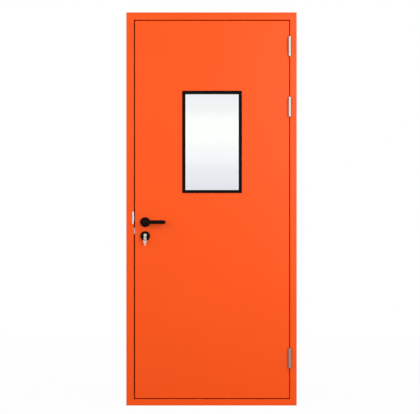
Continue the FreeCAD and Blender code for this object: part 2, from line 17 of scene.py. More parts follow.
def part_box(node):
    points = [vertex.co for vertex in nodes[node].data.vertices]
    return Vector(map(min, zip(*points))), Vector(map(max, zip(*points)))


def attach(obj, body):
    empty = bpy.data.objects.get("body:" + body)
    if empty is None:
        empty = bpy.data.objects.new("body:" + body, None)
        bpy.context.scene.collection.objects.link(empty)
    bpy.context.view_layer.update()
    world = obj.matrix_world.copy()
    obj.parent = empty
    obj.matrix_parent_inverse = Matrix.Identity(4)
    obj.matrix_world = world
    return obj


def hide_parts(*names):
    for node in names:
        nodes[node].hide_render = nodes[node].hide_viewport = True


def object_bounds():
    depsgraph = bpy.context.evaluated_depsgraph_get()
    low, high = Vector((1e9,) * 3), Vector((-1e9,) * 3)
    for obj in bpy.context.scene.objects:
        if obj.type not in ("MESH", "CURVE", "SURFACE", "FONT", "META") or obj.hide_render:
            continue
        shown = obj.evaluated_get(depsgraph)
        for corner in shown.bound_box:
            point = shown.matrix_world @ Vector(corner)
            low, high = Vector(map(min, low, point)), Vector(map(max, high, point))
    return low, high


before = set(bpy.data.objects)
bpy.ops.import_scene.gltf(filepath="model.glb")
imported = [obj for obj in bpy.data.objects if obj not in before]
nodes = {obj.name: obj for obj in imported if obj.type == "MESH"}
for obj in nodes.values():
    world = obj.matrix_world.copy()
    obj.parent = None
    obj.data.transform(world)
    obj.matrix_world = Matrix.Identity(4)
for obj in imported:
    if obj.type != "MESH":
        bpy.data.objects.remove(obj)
cad_low, cad_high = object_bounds()
door_height = cad_high[2] - cad_low[2]
print("pieces", len(nodes), "height", round(door_height, 3))

# %% [markdown]
# ## Small helpers for materials
# A material in Blender is a little graph of nodes. Every graph here is drawn by one function that adds a
# node with its settings and links. Colours are written as the hex codes that a paint chart shows, which
# are sRGB, while the shader works in linear light, so a second function turns one into the other. Two
# more start a graph with only its output in it, and join the last shader to that output.

# %% Helpers for materials
MM = 0.001


def linear(code):
    """Turn an sRGB hex code into linear red, green, blue and an alpha of one."""
    parts = [int(code[i:i + 2], 16) / 255 for i in (1, 3, 5)]
    return [c / 12.92 if c <= 0.04045 else ((c + 0.055) / 1.055) ** 2.4 for c in parts] + [1.0]


def add(tree, kind, inputs=None, links=None, **settings):
    """Add one node, set its values and join its inputs."""
    node = tree.nodes.new(kind)
    for name, value in settings.items():
        setattr(node, name, value)
    for name, value in (inputs or {}).items():
        node.inputs[name].default_value = value
    for name, socket in (links or {}).items():
        tree.links.new(socket, node.inputs[name])
    return node


def blank(name):
    """A new material with an empty graph and its output."""
    material = bpy.data.materials.new(name)
    material.use_nodes = True
    tree = material.node_tree
    tree.nodes.clear()
    output = add(tree, "ShaderNodeOutputMaterial")
    return material, tree, output


def finish_graph(tree, output, shader):
    """Join the last shader of a graph to its output."""
    tree.links.new(shader.outputs[0], output.inputs["Surface"])


print("middle grey in linear light", round(linear("#808080")[0], 3))

# %% [markdown]
# ## Powder-coated steel
# Powder coat is a polyester dust that is baked on to the sheet until it melts and flows. It levels out
# almost flat, but keeps a fine dimple like orange peel, a millimetre or two across, that breaks up what
# it reflects. Under it the thin sheet is never quite flat, so a long, shallow wave runs through every
# reflection. A noise texture on Object coordinates draws each of these, and the scale is one over the
# real size in metres. In the picture a pixel is over five millimetres wide, so the dimple shows only as a
# softer reflection. How much light the skin mirrors is matched to the photograph, here and for the black
# finishes below.

# %% Powder coat
PEEL_SIZE = 2.2 * MM
PEEL_DEPTH = 0.02 * MM
WAVE_SIZE = 420 * MM
WAVE_DEPTH = 0.35 * MM
COAT_GLOSS = 0.22


def powder_coat(name, code, shade_code, roughness):
    """Satin polyester powder: orange-peel dimple, a slow wave in the sheet and a trace of uneven colour."""
    material, tree, output = blank(name)
    place = add(tree, "ShaderNodeTexCoord")
    peel = add(tree, "ShaderNodeTexNoise", {"Scale": 1 / PEEL_SIZE, "Detail": 2.0},
               {"Vector": place.outputs["Object"]})
    wave = add(tree, "ShaderNodeTexNoise", {"Scale": 1 / WAVE_SIZE, "Detail": 1.0},
               {"Vector": place.outputs["Object"]})
    tone = add(tree, "ShaderNodeMix", {"A": linear(code), "B": linear(shade_code)},
               {"Factor": wave.outputs["Fac"]}, data_type="RGBA")
    sheet_bump = add(tree, "ShaderNodeBump", {"Strength": 1.0, "Distance": WAVE_DEPTH},
                     {"Height": wave.outputs["Fac"]})
    peel_bump = add(tree, "ShaderNodeBump", {"Strength": 1.0, "Distance": PEEL_DEPTH},
                    {"Height": peel.outputs["Fac"], "Normal": sheet_bump.outputs["Normal"]})
    shader = add(tree, "ShaderNodeBsdfPrincipled",
                 {"Roughness": roughness, "IOR": 1.5, "Specular IOR Level": COAT_GLOSS},
                 {"Base Color": tone.outputs["Result"], "Normal": peel_bump.outputs["Normal"]})
    finish_graph(tree, output, shader)
    return material


orange = powder_coat("powder_coated_steel", "#F5530B", "#F15009", roughness=0.38)
print(orange.name, "dimple", round(PEEL_SIZE / MM, 1), "mm")

# %% [markdown]
# ## Black satin coat
# The lever and the round roses are steel tube and pressings with a satin black coat. It is nearly as
# smooth as the orange one, with a finer grain, and it shows as soft grey highlights along the round bar.
# Hands polish it unevenly, so a second noise, the size of a fingertip, moves its roughness up and down a
# little.

# %% Black coat
GRAIN_SIZE = 0.6 * MM
GRAIN_DEPTH = 0.006 * MM
WEAR_SIZE = 18 * MM
WEAR_CHANGE = 0.08
BLACK_GLOSS = 0.05


def satin_black(name, code, roughness):
    """Black epoxy coat on turned and pressed steel."""
    material, tree, output = blank(name)
    place = add(tree, "ShaderNodeTexCoord")
    grain = add(tree, "ShaderNodeTexNoise", {"Scale": 1 / GRAIN_SIZE, "Detail": 2.0},
                {"Vector": place.outputs["Object"]})
    bump = add(tree, "ShaderNodeBump", {"Strength": 1.0, "Distance": GRAIN_DEPTH},
               {"Height": grain.outputs["Fac"]})
    wear = add(tree, "ShaderNodeTexNoise", {"Scale": 1 / WEAR_SIZE, "Detail": 3.0},
               {"Vector": place.outputs["Object"]})
    dull = add(tree, "ShaderNodeMapRange",
               {"To Min": roughness - WEAR_CHANGE, "To Max": roughness + WEAR_CHANGE},
               {"Value": wear.outputs["Fac"]})
    shader = add(tree, "ShaderNodeBsdfPrincipled",
                 {"Base Color": linear(code), "IOR": 1.5, "Specular IOR Level": BLACK_GLOSS},
                 {"Roughness": dull.outputs["Result"], "Normal": bump.outputs["Normal"]})
    finish_graph(tree, output, shader)
    return material


black_coat = satin_black("black_epoxy_coat", "#060505", roughness=0.40)
print(black_coat.name, "worn in patches of", round(WEAR_SIZE / MM), "mm")

# %% [markdown]
# ## Rubber
# The window's frame is a moulded black profile, and the door seal is an extruded one. The soot that makes
# rubber black swallows most of the light and its skin is a little rough, so it has no sharp highlight,
# and a faint mottling comes from its bloom. The moulded plastics further on share its graph, each with
# colours of its own.

# %% Rubber
BLOOM_SIZE = 9 * MM
RUBBER_GLOSS = 0.03


def rubber(name, code, bloom_code, roughness):
    """Synthetic rubber, or a moulded plastic, with a faint mottling like the bloom that rubber grows."""
    material, tree, output = blank(name)
    place = add(tree, "ShaderNodeTexCoord")
    bloom = add(tree, "ShaderNodeTexNoise", {"Scale": 1 / BLOOM_SIZE, "Detail": 4.0},
                {"Vector": place.outputs["Object"]})
    tone = add(tree, "ShaderNodeMix", {"A": linear(code), "B": linear(bloom_code)},
               {"Factor": bloom.outputs["Fac"]}, data_type="RGBA")
    shader = add(tree, "ShaderNodeBsdfPrincipled",
                 {"Roughness": roughness, "IOR": 1.52, "Specular IOR Level": RUBBER_GLOSS},
                 {"Base Color": tone.outputs["Result"]})
    finish_graph(tree, output, shader)
    return material


gasket_black = rubber("moulded_black_rubber", "#060505", "#0C0B0B", roughness=0.48)
seal_black = rubber("extruded_seal_rubber", "#121212", "#1D1D1D", roughness=0.62)
print(gasket_black.name, seal_black.name)

# %% [markdown]
# ## Bare metals
# Stainless steel is brushed, so fine parallel scratches stretch its highlights across them. Hinge barrels
# are turned steel, coloured darker than the stainless as painted shade for the dark bands along each
# barrel, and the latch is pressed from powder and sintered, which leaves it dull.
# Nickel on brass is polished and a little warm. Zinc plating is dull and blue-grey, and the spacer
# between the panes is aluminium as it leaves the mill. One function covers them all: a noise that is
# stretched along the brushing gives the scratches, and the same noise moves the roughness a little.

# %% Metals
SCRATCH = 0.35 * MM
SCRATCH_LONG = 14 * MM
POLISHED = 0.05
DULLED = 0.08


def bare_metal(name, code, roughness, scratch_depth, brushed_along=2):
    """Plain or plated metal, with scratches that run along one axis, counted from X as nought."""
    material, tree, output = blank(name)
    place = add(tree, "ShaderNodeTexCoord")
    stretch = [1 / SCRATCH] * 3
    stretch[brushed_along] = 1 / SCRATCH_LONG
    lay = add(tree, "ShaderNodeMapping", {"Scale": stretch}, {"Vector": place.outputs["Object"]})
    scratches = add(tree, "ShaderNodeTexNoise", {"Scale": 1.0, "Detail": 3.0},
                    {"Vector": lay.outputs["Vector"]})
    dull = add(tree, "ShaderNodeMapRange", {"To Min": roughness - POLISHED, "To Max": roughness + DULLED},
               {"Value": scratches.outputs["Fac"]})
    bump = add(tree, "ShaderNodeBump", {"Strength": 1.0, "Distance": scratch_depth},
               {"Height": scratches.outputs["Fac"]})
    shader = add(tree, "ShaderNodeBsdfPrincipled", {"Base Color": linear(code), "Metallic": 1.0},
                 {"Roughness": dull.outputs["Result"], "Normal": bump.outputs["Normal"]})
    finish_graph(tree, output, shader)
    return material


stainless = bare_metal("brushed_stainless_steel", "#C9C6C2", roughness=0.26, scratch_depth=0.006 * MM)
# Darker than the stainless: painted shade for the dark bands along the hinge barrels
hinge_steel_and_painted_shade = bare_metal("turned_hinge_steel", "#8E8B87", roughness=0.16, scratch_depth=0.003 * MM)
nickel = bare_metal("nickel_plated_brass", "#CDC8BF", roughness=0.22, scratch_depth=0.004 * MM,
                    brushed_along=1)
sintered = bare_metal("sintered_steel", "#6E6A67", roughness=0.45, scratch_depth=0.006 * MM,
                      brushed_along=1)
zinc = bare_metal("zinc_plated_steel", "#A9ADB2", roughness=0.40, scratch_depth=0.008 * MM)
aluminium = bare_metal("mill_finish_aluminium", "#C4C6C8", roughness=0.42, scratch_depth=0.006 * MM)
for metal in (stainless, hinge_steel_and_painted_shade, nickel, sintered, zinc, aluminium):
    print(metal.name, len(metal.node_tree.nodes), "nodes")

# %% [markdown]
# ## Glass
# Float glass is clear, with a trace of green from iron. It needs its real refractive index, no roughness,
# the thickness that its solid already has, and the faint, long ripple that is left from drawing the
# sheet.

# %% Float glass
DRAW_SIZE = 160 * MM
DRAW_DEPTH = 0.01 * MM
glass, tree, output = blank("float_glass")
place = add(tree, "ShaderNodeTexCoord")
draw = add(tree, "ShaderNodeTexNoise", {"Scale": 1 / DRAW_SIZE, "Detail": 0.0},
           {"Vector": place.outputs["Object"]})
ripple = add(tree, "ShaderNodeBump", {"Strength": 1.0, "Distance": DRAW_DEPTH},
             {"Height": draw.outputs["Fac"]})
finish_graph(tree, output, add(tree, "ShaderNodeBsdfPrincipled", {
    "Base Color": linear("#FEFFFE"), "Roughness": 0.0, "IOR": 1.5, "Transmission Weight": 1.0},
    {"Normal": ripple.outputs["Normal"]}))
print(glass.name)

# %% [markdown]
# ## The board inside the leaf
# The leaf's core is a paper honeycomb that stiffens the two skins. A Voronoi texture gives the distance
# to the nearest cell wall, and a colour ramp draws the wall as a darker line round each cell.

# %% Honeycomb core
CELL = 12 * MM
CELL_WALL = 0.12
core_board, tree, output = blank("honeycomb_board")
place = add(tree, "ShaderNodeTexCoord")
cells = add(tree, "ShaderNodeTexVoronoi", {"Scale": 1 / CELL}, {"Vector": place.outputs["Object"]},
            feature="DISTANCE_TO_EDGE")
paper = add(tree, "ShaderNodeValToRGB", None, {"Fac": cells.outputs["Distance"]})
paper.color_ramp.elements[0].color = linear("#7A5C36")
paper.color_ramp.elements[1].color = linear("#B99763")
paper.color_ramp.elements[1].position = CELL_WALL
finish_graph(tree, output, add(tree, "ShaderNodeBsdfPrincipled", {"Roughness": 0.85},
                               {"Base Color": paper.outputs["Color"]}))
print(core_board.name, "cells of", round(CELL / MM), "mm")

# %% [markdown]
# ## Give every solid its finish
# Each solid keeps its mesh and place. Only what sits in its material slot changes. The list below is the
# maker's parts list read the other way round: which pieces leave the shop in which finish.

# %% Dress the solids
hinge_places = ["top", "middle", "bottom"]
hinge_parts = ["hinge_" + place_name + part for place_name in hinge_places
               for part in ("_jamb_half", "_leaf_half", "_pin")]
finishes = {
    orange: ["lock_jamb", "hinge_jamb", "head", "sill", "leaf_front_skin", "leaf_back_skin"],
    black_coat: ["lever_front", "lever_back", "lever_rose_front", "lever_rose_back",
                 "cylinder_rose_front", "cylinder_rose_back"],
    gasket_black: ["window_frame_front", "window_frame_back"],
    seal_black: ["frame_seal"],
    stainless: ["strike_plate", "lock_forend", "deadbolt", "key_ring"],
    hinge_steel_and_painted_shade: hinge_parts,
    nickel: ["cylinder_body", "cylinder_plug", "key", "spare_key"],
    sintered: ["latch_bolt"],
    zinc: ["strike_box", "lock_case", "window_liner", "spindle"],
    aluminium: ["pane_spacer"],
    glass: ["pane_front", "pane_back"],
    core_board: ["leaf_core"],
}
for material, names in finishes.items():
    for name in names:
        for slot in nodes[name].material_slots:
            slot.material = material
print("finished", sum(len(names) for names in finishes.values()), "of", len(nodes))

# %% [markdown]
# ## From a shape to a piece
# Each small piece is shaped as a bmesh with its place already in its vertices, so that its object stays
# at the origin. One function makes the object, smooths its round faces, keeps its crisp edges and hangs
# it on the body that it moves with. A second one stands a shape that was made along +Z on its place, and
# a third copies a shape into another one.

# %% Make and place a piece
SHARP = math.radians(35)


def piece(name, shape, material, body):
    """Turn a finished shape into a piece that rides on a body."""
    if not shape.faces:
        raise ValueError(name + " came out empty")
    bmesh.ops.recalc_face_normals(shape, faces=shape.faces)
    mesh = bpy.data.meshes.new(name)
    shape.to_mesh(mesh)
    shape.free()
    mesh.shade_smooth()
    mesh.set_sharp_from_angle(angle=SHARP)
    mesh.materials.append(material)
    made = bpy.data.objects.new(name, mesh)
    bpy.context.collection.objects.link(made)
    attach(made, body)
    print(name, len(mesh.polygons), "faces")
    return made


def facing(place, direction):
    """A matrix that stands a shape on a place and points its +Z another way."""
    return Matrix.Translation(place) @ Vector(direction).to_track_quat("Z", "Y").to_matrix().to_4x4()


def put(target, source, matrix):
    """Add a copy of a shape to another one, at a place."""
    mesh = bpy.data.meshes.new("copy")
    source.to_mesh(mesh)
    mesh.transform(matrix)
    target.from_mesh(mesh)
    bpy.data.meshes.remove(mesh)


print("edges over", round(math.degrees(SHARP)), "degrees stay crisp")

# %% [markdown]
# ## Turning and cutting
# Most small parts of a door are turned, so a profile of radii and heights is spun round the Z axis. A
# slot or a cross is then cut out with a Boolean modifier, which is applied at once, so that no modifier
# and no cutter stay behind.

# %% Turn a profile and cut a shape
WELD = 0.001 * MM


def turned(profile, steps, closed=False):
    """Spin (radius, height) points in millimetres round Z; a closed profile makes a ring."""
    shape = bmesh.new()
    points = [shape.verts.new((radius * MM, 0, height * MM)) for radius, height in profile]
    following = points[1:] + points[:1] if closed else points[1:]
    edges = [shape.edges.new(pair) for pair in zip(points, following)]
    bmesh.ops.spin(shape, geom=points + edges, cent=(0, 0, 0), axis=(0, 0, 1), angle=math.tau, steps=steps,
                   use_merge=True)
    bmesh.ops.remove_doubles(shape, verts=shape.verts, dist=WELD)
    bmesh.ops.recalc_face_normals(shape, faces=shape.faces)
    return shape


def block(size, matrix):
    """A box of a size in millimetres."""
    shape = bmesh.new()
    bmesh.ops.create_cube(shape, size=MM)
    bmesh.ops.scale(shape, vec=size, verts=shape.verts)
    bmesh.ops.transform(shape, matrix=matrix, verts=shape.verts)
    return shape


def carved(shape, cutter):
    """The shape with the cutter's room taken out."""
    objects = []
    for name, source in (("stock", shape), ("cutter", cutter)):
        mesh = bpy.data.meshes.new(name)
        source.to_mesh(mesh)
        source.free()
        objects.append(bpy.data.objects.new(name, mesh))
        bpy.context.collection.objects.link(objects[-1])
    cut = objects[0].modifiers.new("cut", "BOOLEAN")
    cut.operation = "DIFFERENCE"
    cut.solver = "EXACT"
    cut.object = objects[1]
    result = bmesh.new()
    result.from_object(objects[0], bpy.context.evaluated_depsgraph_get())
    for used in objects:
        mesh = used.data
        bpy.data.objects.remove(used)
        bpy.data.meshes.remove(mesh)
    return result


print("points closer than", round(WELD / MM, 3), "mm are welded")

# %% [markdown]
# ## Screws
# The strike plate, the forend and the hinge plates are held by raised countersunk screws with a cross
# recess. A real one is turned and its recess is punched, so a profile is spun and a cross is cut out of
# it, one arm at a time, because a cutter that passes through itself confuses a Boolean. Each arm is
# smaller at its foot, as the punch is, and is turned by a hair, so that its walls run parallel to no edge
# of the head.

# %% Shape a screw
SCREW_PROFILE = ((0, 0.7), (1.6, 0.62), (2.9, 0.38), (3.7, 0.1), (4.0, -0.15), (2.0, -2.2), (2.0, -7.0),
                 (0.6, -8.0), (0, -8.0))
CROSS_SIZE = (4.4, 0.9, 3.0)
CROSS_TAPER = (0.3, 0.6, 1.0)
CROSS_RISE = 0.7 * MM
CROSS_TWIST = 0.01  # radians
screw = turned(SCREW_PROFILE, steps=24)
for turn in (0, math.pi / 2):
    arm = block(CROSS_SIZE, Matrix.Translation((0, 0, CROSS_RISE)))
    bmesh.ops.scale(arm, vec=CROSS_TAPER, verts=[v for v in arm.verts if v.co.z < 0])
    twist = Matrix.Rotation(turn + CROSS_TWIST, 3, "Z")
    bmesh.ops.rotate(arm, cent=(0, 0, 0), matrix=twist, verts=arm.verts)
    screw = carved(screw, arm)
    print("after one slot of the cross the screw has", len(screw.faces), "faces")

# %% [markdown]
# One screw is copied to every hole, turned a little differently each time as a fitter leaves them, and
# the screws of one plate are joined into one piece, because they never move apart. The screws of a hinge
# plate stand in two staggered columns, which hold the plate against twisting.

# %% Fit the screws
# In radians: how far the first screw is turned, and how much further each next one is
SCREW_TURN = 0.3
SCREW_NEXT = 0.8
EDGE = 8 * MM
HINGE_GAP = 4 * MM
# Up from the hinge's middle and in from the door's face, in millimetres
PLATE_ROWS = ((-42, 14), (-15, 25), (15, 14), (42, 25))
leaf_edge_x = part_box("leaf_front_skin")[1].x
rebate_x = leaf_edge_x + HINGE_GAP
front_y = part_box("head")[0].y
plug_low, plug_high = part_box("cylinder_plug")
plug_x = (plug_low.x + plug_high.x) / 2
plug_z = (plug_low.z + plug_high.z) / 2


def screws(name, places, direction, body):
    """Copy the screw to each place and make the copies one piece."""
    shape = bmesh.new()
    for count, place in enumerate(places):
        turn = Matrix.Rotation(SCREW_TURN + SCREW_NEXT * count, 4, "Z")
        put(shape, screw, facing(place, direction) @ turn)
    return piece(name, shape, zinc, body)


low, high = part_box("lock_forend")
lock_y = (low.y + high.y) / 2
forend_rows = (low.z + EDGE, plug_z, high.z - EDGE)
screws("forend_screws", [(low.x, lock_y, z) for z in forend_rows], (-1, 0, 0), "leaf")
low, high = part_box("strike_plate")
strike_rows = (low.z + EDGE, high.z - EDGE)
screws("strike_screws", [(high.x, lock_y, z) for z in strike_rows], (1, 0, 0), "frame")
for place_name in hinge_places:
    low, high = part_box("hinge_" + place_name + "_leaf_half")
    middle = (low.z + high.z) / 2
    rows = [(front_y + inward * MM, middle + up * MM) for up, inward in PLATE_ROWS]
    hinge = "hinge_" + place_name
    screws(hinge + "_jamb_screws", [(rebate_x, y, z) for y, z in rows], (-1, 0, 0), "frame")
    screws(hinge + "_leaf_screws", [(leaf_edge_x, y, z) for y, z in rows], (1, 0, 0), "leaf")
screw.free()

# %% [markdown]
# ## Bearing washers
# A heavy leaf would grind its knuckles together, so each hinge has a brass washer in the gap above its
# middle knuckle. It is a turned ring with broken edges, and it stays with the jamb's half.

# %% Washers
brass = bare_metal("turned_brass", "#C9A35A", roughness=0.30, scratch_depth=0.004 * MM)
WASHER_PROFILE = ((3.6, 0.08), (7.1, 0.08), (7.3, 0.25), (7.3, 0.75), (7.1, 0.92), (3.6, 0.92))
KNUCKLE = 30 * MM
KNUCKLE_GAP = 1 * MM
pin_low, pin_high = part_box("hinge_top_pin")
axis_x = (pin_low.x + pin_high.x) / 2
axis_y = (pin_low.y + pin_high.y) / 2
for place_name in hinge_places:
    top_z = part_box("hinge_" + place_name + "_jamb_half")[1].z
    shape = turned(WASHER_PROFILE, steps=40, closed=True)
    bmesh.ops.translate(shape, vec=(axis_x, axis_y, top_z - KNUCKLE - KNUCKLE_GAP), verts=shape.verts)
    piece("hinge_" + place_name + "_washer", shape, brass, "frame")

# %% [markdown]
# ## Anchor caps
# The frame's wall anchors are reached through holes behind the stop, and each hole is closed with a low
# plastic cap in the frame's colour. A cap is round, so it is spun from a profile too, a dome on a short
# stem, and is copied up both jambs and along the head and the sill.

# %% Caps
cap_plastic = rubber("orange_polypropylene_cap", "#F45A16", "#EE5514", roughness=0.42)
CAP_PROFILE = ((0, 2.2), (4.0, 1.95), (6.6, 1.3), (7.8, 0.5), (8.0, 0.0), (5.3, 0.0), (5.1, -4.0),
               (0, -4.0))
ANCHOR_Y = 28 * MM
ANCHOR_END = 250 * MM
RAIL_ANCHOR_END = 205 * MM
ANCHORS = 4
cap = turned(CAP_PROFILE, steps=32)
anchor_step = (door_height - 2 * ANCHOR_END) / (ANCHORS - 1)
jamb_rows = [ANCHOR_END + count * anchor_step for count in range(ANCHORS)]
lock_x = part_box("lock_jamb")[1].x
hinge_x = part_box("hinge_jamb")[0].x
head_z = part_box("head")[0].z
sill_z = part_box("sill")[1].z
anchor_x = cad_high[0] - RAIL_ANCHOR_END
caps = bmesh.new()
for z in jamb_rows:
    put(caps, cap, facing((lock_x, ANCHOR_Y, z), (1, 0, 0)))
    put(caps, cap, facing((hinge_x, ANCHOR_Y, z), (-1, 0, 0)))
for x in (-anchor_x, anchor_x):
    put(caps, cap, facing((x, ANCHOR_Y, head_z), (0, 0, -1)))
    put(caps, cap, facing((x, ANCHOR_Y, sill_z), (0, 0, 1)))
cap.free()
piece("anchor_caps", caps, cap_plastic, "frame")

# %% [markdown]
# ## Glazing beads
# Where the black frame meets the glass, a soft lip seals it: a narrow line of rubber that follows the
# rounded sight opening. A rectangle with its four corners bevelled gives the outline, an inset gives the
# width, an extrude gives the height, and a bevel rounds the edge that shows.

# %% Beads round the glass
BEAD_W = 2.4 * MM
BEAD_H = 1.8 * MM
BEAD_CORNER = 3 * MM
BEAD_ROUND = 0.7 * MM
RIM_ANGLE = 1.0  # radians, between a flat join and a square edge
BAND = 14 * MM
frame_low, frame_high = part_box("window_frame_front")
sight_w = frame_high.x - frame_low.x - 2 * BAND
sight_h = frame_high.z - frame_low.z - 2 * BAND
window_x = (frame_low.x + frame_high.x) / 2
window_z = (frame_low.z + frame_high.z) / 2
pane_sides = (("front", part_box("pane_front")[0].y, -1), ("back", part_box("pane_back")[1].y, 1))
for side, pane_y, outward in pane_sides:
    # A size of a half gives a square of side one, which is then scaled to the opening
    shape = bmesh.new()
    bmesh.ops.create_grid(shape, x_segments=1, y_segments=1, size=0.5)
    bmesh.ops.scale(shape, vec=(sight_w, sight_h, 1), verts=shape.verts)
    bmesh.ops.bevel(shape, geom=shape.verts[:], offset=BEAD_CORNER, offset_type="OFFSET", segments=6,
                    profile=0.5, affect="VERTICES", material=-1)
    ring = bmesh.ops.inset_region(shape, faces=shape.faces[:], thickness=BEAD_W, depth=0, use_boundary=True,
                                  use_even_offset=True)["faces"]
    bmesh.ops.delete(shape, geom=[f for f in shape.faces if f not in ring], context="FACES")
    lifted = bmesh.ops.extrude_face_region(shape, geom=shape.faces[:], use_keep_orig=True)["geom"]
    raised = [v for v in lifted if isinstance(v, bmesh.types.BMVert)]
    bmesh.ops.translate(shape, vec=(0, 0, BEAD_H), verts=raised)
    top_edges = [e for e in shape.edges if all(v.co.z > BEAD_H / 2 for v in e.verts)]
    rims = [e for e in top_edges if e.calc_face_angle(0) > RIM_ANGLE]
    bmesh.ops.bevel(shape, geom=rims, offset=BEAD_ROUND, offset_type="OFFSET", segments=3, profile=0.5,
                    affect="EDGES", material=-1)
    stand = facing((window_x, pane_y, window_z), (0, outward, 0))
    bmesh.ops.transform(shape, matrix=stand, verts=shape.verts)
    piece("glazing_bead_" + side, shape, seal_black, "leaf")

# %% [markdown]
# ## Bushes and grub screws
# A nylon bush lines each lever rose, and a grub screw under each neck locks the lever to its spindle. The
# bush is a turned ring, and the grub screw a turned plug with a hexagon cut in for the key that tightens
# it.

# %% Bushes and grub screws
nylon = rubber("moulded_black_nylon", "#0B0B0C", "#141415", roughness=0.42)
BUSH_PROFILE = ((9.15, -0.5), (11.8, -0.5), (11.8, 0.5), (11.3, 0.9), (9.5, 0.9), (9.15, 0.6))
GRUB_PROFILE = ((0, 0.2), (2.3, 0.2), (2.5, 0.0), (2.5, -3.0), (0, -3.0))
HEX_R = 1.25 * MM
GRUB_DEEP = 1.6 * MM
GRUB_FROM_ROSE = 7 * MM
NECK_R = 9 * MM
rose_low, rose_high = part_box("lever_rose_front")
lever_x = (rose_low.x + rose_high.x) / 2
lever_z = (rose_low.z + rose_high.z) / 2
for side, outward in (("front", -1), ("back", 1)):
    rose_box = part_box("lever_rose_" + side)
    rose_y = rose_box[0].y if outward < 0 else rose_box[1].y
    shape = turned(BUSH_PROFILE, steps=48, closed=True)
    stand = facing((lever_x, rose_y, lever_z), (0, outward, 0))
    bmesh.ops.transform(shape, matrix=stand, verts=shape.verts)
    piece("lever_bush_" + side, shape, nylon, "leaf")
    hexagon = bmesh.new()
    bmesh.ops.create_cone(hexagon, cap_ends=True, segments=6, radius1=HEX_R, radius2=HEX_R,
                          depth=2 * GRUB_DEEP)
    shape = carved(turned(GRUB_PROFILE, steps=24), hexagon)
    grub_y = rose_y + outward * GRUB_FROM_ROSE
    stand = facing((lever_x, grub_y, lever_z - NECK_R), (0, 0, -1))
    bmesh.ops.transform(shape, matrix=stand, verts=shape.verts)
    piece("lever_grub_screw_" + side, shape, zinc, "lever")

# %% [markdown]
# ## The plug's back face
# The cylinder takes a key from both sides, so it shows a round face with a keyhole on the back as well.
# The face is a turned disc with a slot cut right through.

# %% Back face of the plug
PLUG_PROFILE = ((0, 0.35), (5.6, 0.35), (6.3, 0.2), (6.5, -0.2), (6.5, -1.0), (0, -1.0))
SLOT_SIZE = (2.6, 9.2, 8.0)
shape = carved(turned(PLUG_PROFILE, steps=40), block(SLOT_SIZE, Matrix.Identity(4)))
plug_back_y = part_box("cylinder_body")[1].y
stand = facing((plug_x, plug_back_y, plug_z), (0, 1, 0))
bmesh.ops.transform(shape, matrix=stand, verts=shape.verts)
piece("cylinder_plug_back", shape, nickel, "leaf")

# %% [markdown]
# ## Split ring
# The keys hang on a ring of flat wire wound twice round, which opens when its ends are prised apart. A
# small section is spun through two turns, and a little lift at every step turns the circle into a coil.
# It takes the place of the plain ring among the solids.

# %% Wind the split ring
RING_TURNS = 2
RING_STEPS = 56
WIRE_WIDE = 1.6
WIRE_THICK = 0.7
RING_PITCH = 0.78
# The ring hangs upright, an eighth of a turn away from the door's face
RING_AXIS = (-math.sin(math.pi / 4), math.cos(math.pi / 4), 0)
low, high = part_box("key_ring")
ring_outer = (high.z - low.z) / 2 / MM
ring_inner = ring_outer - WIRE_WIDE
coil_start = -(RING_PITCH + WIRE_THICK) / 2
corners = [(ring_inner, 0), (ring_outer, 0), (ring_outer, WIRE_THICK), (ring_inner, WIRE_THICK)]
shape = bmesh.new()
points = [shape.verts.new((radius * MM, 0, (coil_start + up) * MM)) for radius, up in corners]
edges = [shape.edges.new(pair) for pair in zip(points, points[1:] + points[:1])]
steps = RING_TURNS * RING_STEPS
lift = RING_PITCH * MM * (RING_TURNS - 1) / steps
bmesh.ops.spin(shape, geom=points + edges, cent=(0, 0, 0), axis=(0, 0, 1), angle=RING_TURNS * math.tau,
               steps=steps, dvec=(0, 0, lift))
bmesh.ops.holes_fill(shape, edges=[e for e in shape.edges if e.is_boundary])
bmesh.ops.transform(shape, matrix=facing((low + high) / 2, RING_AXIS), verts=shape.verts)
split_ring = piece("split_ring", shape, stainless, "key")
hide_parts("key_ring")
print("split ring", round(2 * ring_outer, 1), "mm across")

# %% [markdown]
# ## Stage
# The picture is a catalogue view: the door stands on white, square to the lens. The camera, mirrors and
# glass should see white all round, while the light that bounces between things stays soft, so that the
# steel keeps its shades. Light Path tells a shader which kind of ray has met it, and one small graph
# sorts the rays.
#
# The floor is a pale grey sheet to the light that bounces, and very nearly white to the other rays. Near
# the door a small share of the real floor stays, for a trace of its shadow, and that share fades out
# further away.

# %% Floor paint
FLOOR_GREY = 0.40
FLOOR_WHITE_SHARE = 0.98
FLOOR_HALF = 6.0
FADE_START = 1.0
FADE_END = FLOOR_HALF - 1.0


def sees_white(tree):
    """One for rays from the camera, a mirror or glass, and nought for light that bounces about."""
    path = add(tree, "ShaderNodeLightPath")
    direct = add(tree, "ShaderNodeMath", None,
                 {0: path.outputs["Is Camera Ray"], 1: path.outputs["Is Glossy Ray"]}, operation="MAXIMUM")
    either = add(tree, "ShaderNodeMath", None,
                 {0: direct.outputs[0], 1: path.outputs["Is Transmission Ray"]}, operation="MAXIMUM")
    return either.outputs[0]


floor_paint, tree, output = blank("white_floor")
place = add(tree, "ShaderNodeTexCoord")
away = add(tree, "ShaderNodeVectorMath", None, {0: place.outputs["Object"]}, operation="LENGTH")
fade = add(tree, "ShaderNodeMapRange",
           {"From Min": FADE_START, "From Max": FADE_END, "To Min": FLOOR_WHITE_SHARE, "To Max": 1.0},
           {"Value": away.outputs["Value"]})
share = add(tree, "ShaderNodeMath", None, {0: sees_white(tree), 1: fade.outputs["Result"]},
            operation="MULTIPLY")
matt = add(tree, "ShaderNodeBsdfDiffuse", {"Color": [FLOOR_GREY] * 3 + [1.0]})
glow = add(tree, "ShaderNodeEmission", {"Color": [1.0, 1.0, 1.0, 1.0], "Strength": 1.0})
finish_graph(tree, output, add(tree, "ShaderNodeMixShader", None, {
    0: share.outputs[0], 1: matt.outputs[0], 2: glow.outputs[0]}))
print(floor_paint.name, len(tree.nodes), "nodes")
